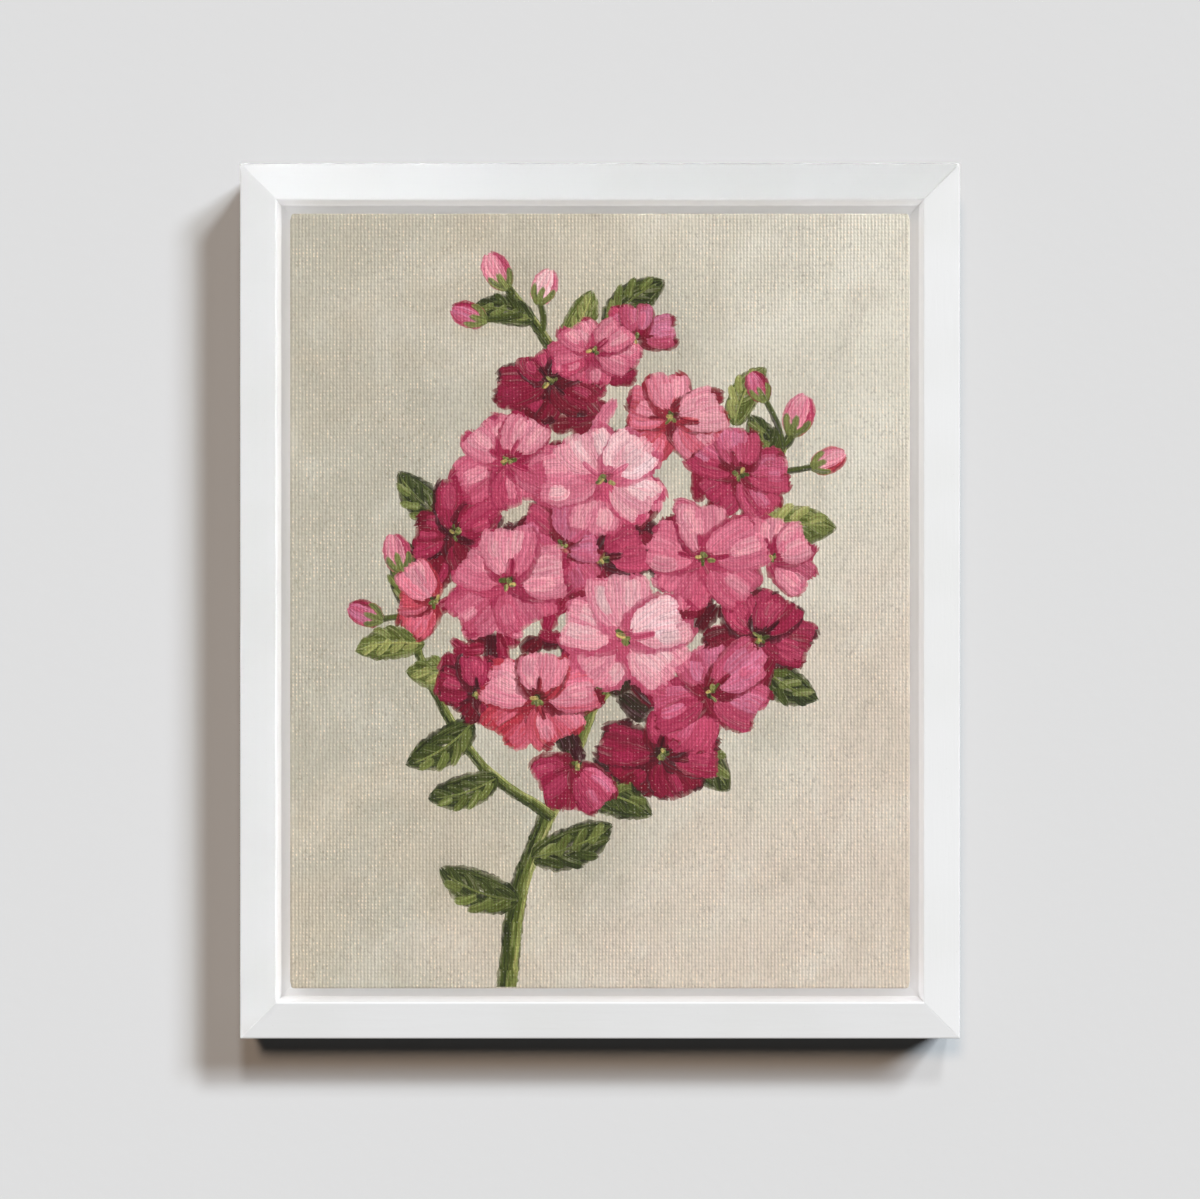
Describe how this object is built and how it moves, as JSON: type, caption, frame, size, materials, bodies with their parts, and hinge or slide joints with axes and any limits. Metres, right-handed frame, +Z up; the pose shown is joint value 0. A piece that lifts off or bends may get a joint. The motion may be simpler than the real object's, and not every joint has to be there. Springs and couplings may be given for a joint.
{
  "type": "framed canvas painting",
  "caption": "Small flower painting on stretched canvas, set with a shadow gap in a white wooden floater frame that hangs on a wall nail.",
  "frame": {"origin": "the middle notch of the toothed hanger on the back of the top rail, where a nail in the wall sits", "axes": "+Z up along the long side, +X to the right as seen from the front, +Y into the wall, so that the picture faces -Y"},
  "size_m": [0.2356, 0.027, 0.2864],
  "materials": {
    "white_frame_paint": "satin white paint over wood",
    "painted_canvas": "matt oil ground over a ribbed cotton weave",
    "petal_paint": "thick oil paint, soft gloss",
    "leaf_paint": "thick oil paint, soft gloss",
    "stretcher_pine": "planed, raw",
    "key_beech": "sawn, raw",
    "fixing_steel": "bright zinc",
    "hanger_brass": "brass-plated",
    "bumper_rubber": "clear, matt with age"
  },
  "bodies": {
    "root": {"rail_top": "white_frame_paint", "rail_right": "white_frame_paint", "rail_bottom": "white_frame_paint", "rail_left": "white_frame_paint", "v_nail_top_right": "fixing_steel", "v_nail_bottom_right": "fixing_steel", "v_nail_bottom_left": "fixing_steel", "v_nail_top_left": "fixing_steel", "stretcher_top": "stretcher_pine", "stretcher_right": "stretcher_pine", "stretcher_bottom": "stretcher_pine", "stretcher_left": "stretcher_pine", "key_top_right_level": "key_beech", "key_top_right_upright": "key_beech", "key_bottom_right_level": "key_beech", "key_bottom_right_upright": "key_beech", "key_bottom_left_level": "key_beech", "key_bottom_left_upright": "key_beech", "key_top_left_level": "key_beech", "key_top_left_upright": "key_beech", "canvas": "painted_canvas", "staple_top_1": "fixing_steel", "staple_top_2": "fixing_steel", "staple_top_3": "fixing_steel", "staple_top_4": "fixing_steel", "staple_right_1": "fixing_steel", "staple_right_2": "fixing_steel", "staple_right_3": "fixing_steel", "staple_right_4": "fixing_steel", "staple_right_5": "fixing_steel", "staple_bottom_1": "fixing_steel", "staple_bottom_2": "fixing_steel", "staple_bottom_3": "fixing_steel", "staple_bottom_4": "fixing_steel", "staple_left_1": "fixing_steel", "staple_left_2": "fixing_steel", "staple_left_3": "fixing_steel", "staple_left_4": "fixing_steel", "staple_left_5": "fixing_steel", "screw_left_upper": "fixing_steel", "screw_left_lower": "fixing_steel", "screw_right_upper": "fixing_steel", "screw_right_lower": "fixing_steel", "hanger": "hanger_brass", "hanger_nail_left": "hanger_brass", "hanger_nail_right": "hanger_brass", "bumper_left": "bumper_rubber", "bumper_right": "bumper_rubber"}
  },
  "joints": []
}
